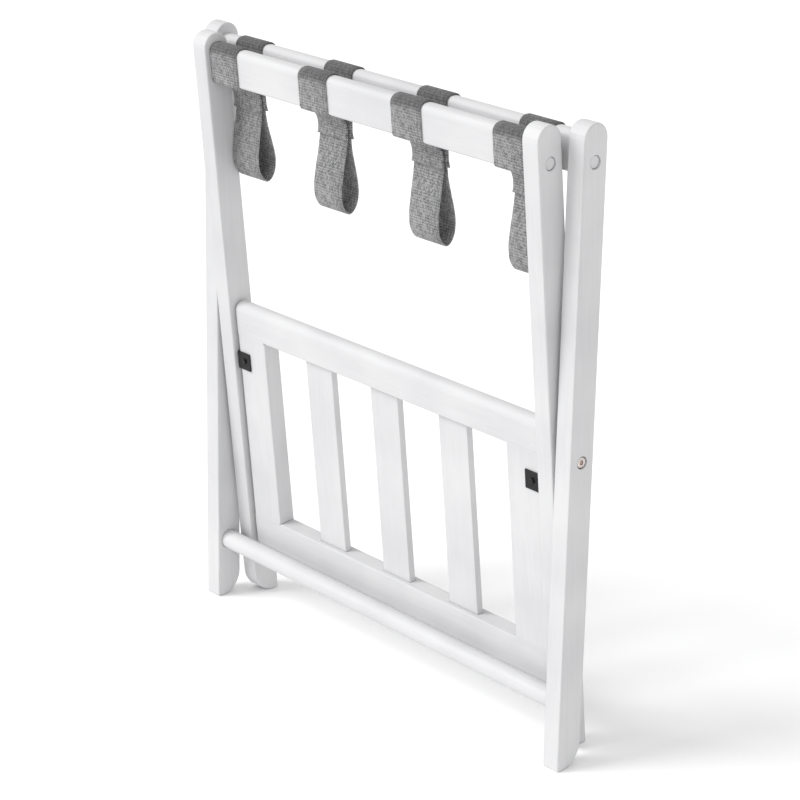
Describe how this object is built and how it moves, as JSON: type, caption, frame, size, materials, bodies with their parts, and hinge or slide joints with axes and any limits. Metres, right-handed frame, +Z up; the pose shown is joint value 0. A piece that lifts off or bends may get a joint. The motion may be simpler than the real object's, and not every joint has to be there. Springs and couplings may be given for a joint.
{
  "type": "folding luggage rack",
  "caption": "Folding luggage rack in white painted wood: two crossing hinged frames, grey webbing straps over the top rails and a slatted shelf that swings down.",
  "frame": {"origin": "bottom centre of the folded rack's bounding box", "axes": "+Z up along the folded rack, +X to the right along the rails, -Y towards the side the inner frame's top leans to (front)"},
  "size_m": [0.527, 0.0606, 0.6086],
  "materials": {
    "white_paint": "white satin paint on wood",
    "grey_webbing": "heathered woven nylon webbing",
    "black_steel": "black coated steel",
    "nickel_plate": "warm nickel plate",
    "zinc_steel": "zinc plated",
    "bare_beech": "bare",
    "white_nylon": "matt"
  },
  "bodies": {
    "outer_frame": {"outer_leg_left": "white_paint", "outer_leg_right": "white_paint", "rear_top_rail": "white_paint", "foot_dowel": "white_paint", "outer_rail_screw_left": "zinc_steel", "outer_rail_screw_right": "zinc_steel", "outer_screw_plug_left": "white_paint", "outer_screw_plug_right": "white_paint", "strap_1_rear_wrap": "grey_webbing", "strap_2_rear_wrap": "grey_webbing", "strap_3_rear_wrap": "grey_webbing", "strap_4_rear_wrap": "grey_webbing"},
    "inner_frame": {"inner_leg_left": "white_paint", "inner_leg_right": "white_paint", "front_top_rail": "white_paint", "inner_rail_screw_left": "zinc_steel", "inner_rail_screw_right": "zinc_steel", "inner_screw_plug_left": "white_paint", "inner_screw_plug_right": "white_paint", "pivot_bolt_left": "nickel_plate", "pivot_bolt_right": "nickel_plate", "pivot_washer_left": "white_nylon", "pivot_washer_right": "white_nylon", "pivot_insert_nut_left": "zinc_steel", "pivot_insert_nut_right": "zinc_steel", "shelf_pivot_pin_left": "zinc_steel", "shelf_pivot_pin_right": "zinc_steel", "strap_1_front_wrap": "grey_webbing", "strap_2_front_wrap": "grey_webbing", "strap_3_front_wrap": "grey_webbing", "strap_4_front_wrap": "grey_webbing"},
    "shelf": {"shelf_nose_rail": "white_paint", "shelf_pivot_rail": "white_paint", "shelf_stile_left": "white_paint", "shelf_stile_right": "white_paint", "shelf_slat_1": "white_paint", "shelf_slat_2": "white_paint", "shelf_slat_3": "white_paint", "shelf_joint_dowel_lower_left": "bare_beech", "shelf_joint_dowel_lower_right": "bare_beech", "shelf_joint_dowel_upper_left": "bare_beech", "shelf_joint_dowel_upper_right": "bare_beech", "shelf_catch_left": "black_steel", "shelf_catch_right": "black_steel", "catch_screw_left": "black_steel", "catch_screw_right": "black_steel"},
    "strap_front_halves": {"strap_1_front_half": "grey_webbing", "strap_2_front_half": "grey_webbing", "strap_3_front_half": "grey_webbing", "strap_4_front_half": "grey_webbing"},
    "strap_rear_halves": {"strap_1_rear_half": "grey_webbing", "strap_2_rear_half": "grey_webbing", "strap_3_rear_half": "grey_webbing", "strap_4_rear_half": "grey_webbing"}
  },
  "joints": [
    {"name": "frame_fold", "type": "hinge", "parent": "outer_frame", "child": "inner_frame", "pos_m": [0, 0, 0.30136], "axis": [1, 0, 0], "range_deg": [0, 41.4]},
    {"name": "shelf_drop", "type": "hinge", "parent": "inner_frame", "child": "shelf", "pos_m": [0, 0.01237, 0.0737], "axis": [1, 0, 0], "range_deg": [0, 62.5]},
    {"name": "strap_front_swing", "type": "hinge", "parent": "inner_frame", "child": "strap_front_halves", "pos_m": [0, -0.00604, 0.56], "axis": [1, 0, 0], "range_deg": [0, 62.95], "deforming": ["strap_1_front_half", "strap_2_front_half", "strap_3_front_half", "strap_4_front_half"]},
    {"name": "strap_rear_fold", "type": "hinge", "parent": "strap_front_halves", "child": "strap_rear_halves", "pos_m": [0, 0, 0.463], "axis": [-1, 0, 0], "range_deg": [0, 167.29], "deforming": ["strap_1_rear_half", "strap_2_rear_half", "strap_3_rear_half", "strap_4_rear_half"]}
  ],
  "couplings": [
    {"joint": "shelf_drop", "follows": "frame_fold", "ratio": 1.5096},
    {"joint": "strap_front_swing", "follows": "frame_fold", "ratio": 1.5204},
    {"joint": "strap_rear_fold", "follows": "frame_fold", "ratio": 4.0408}
  ]
}
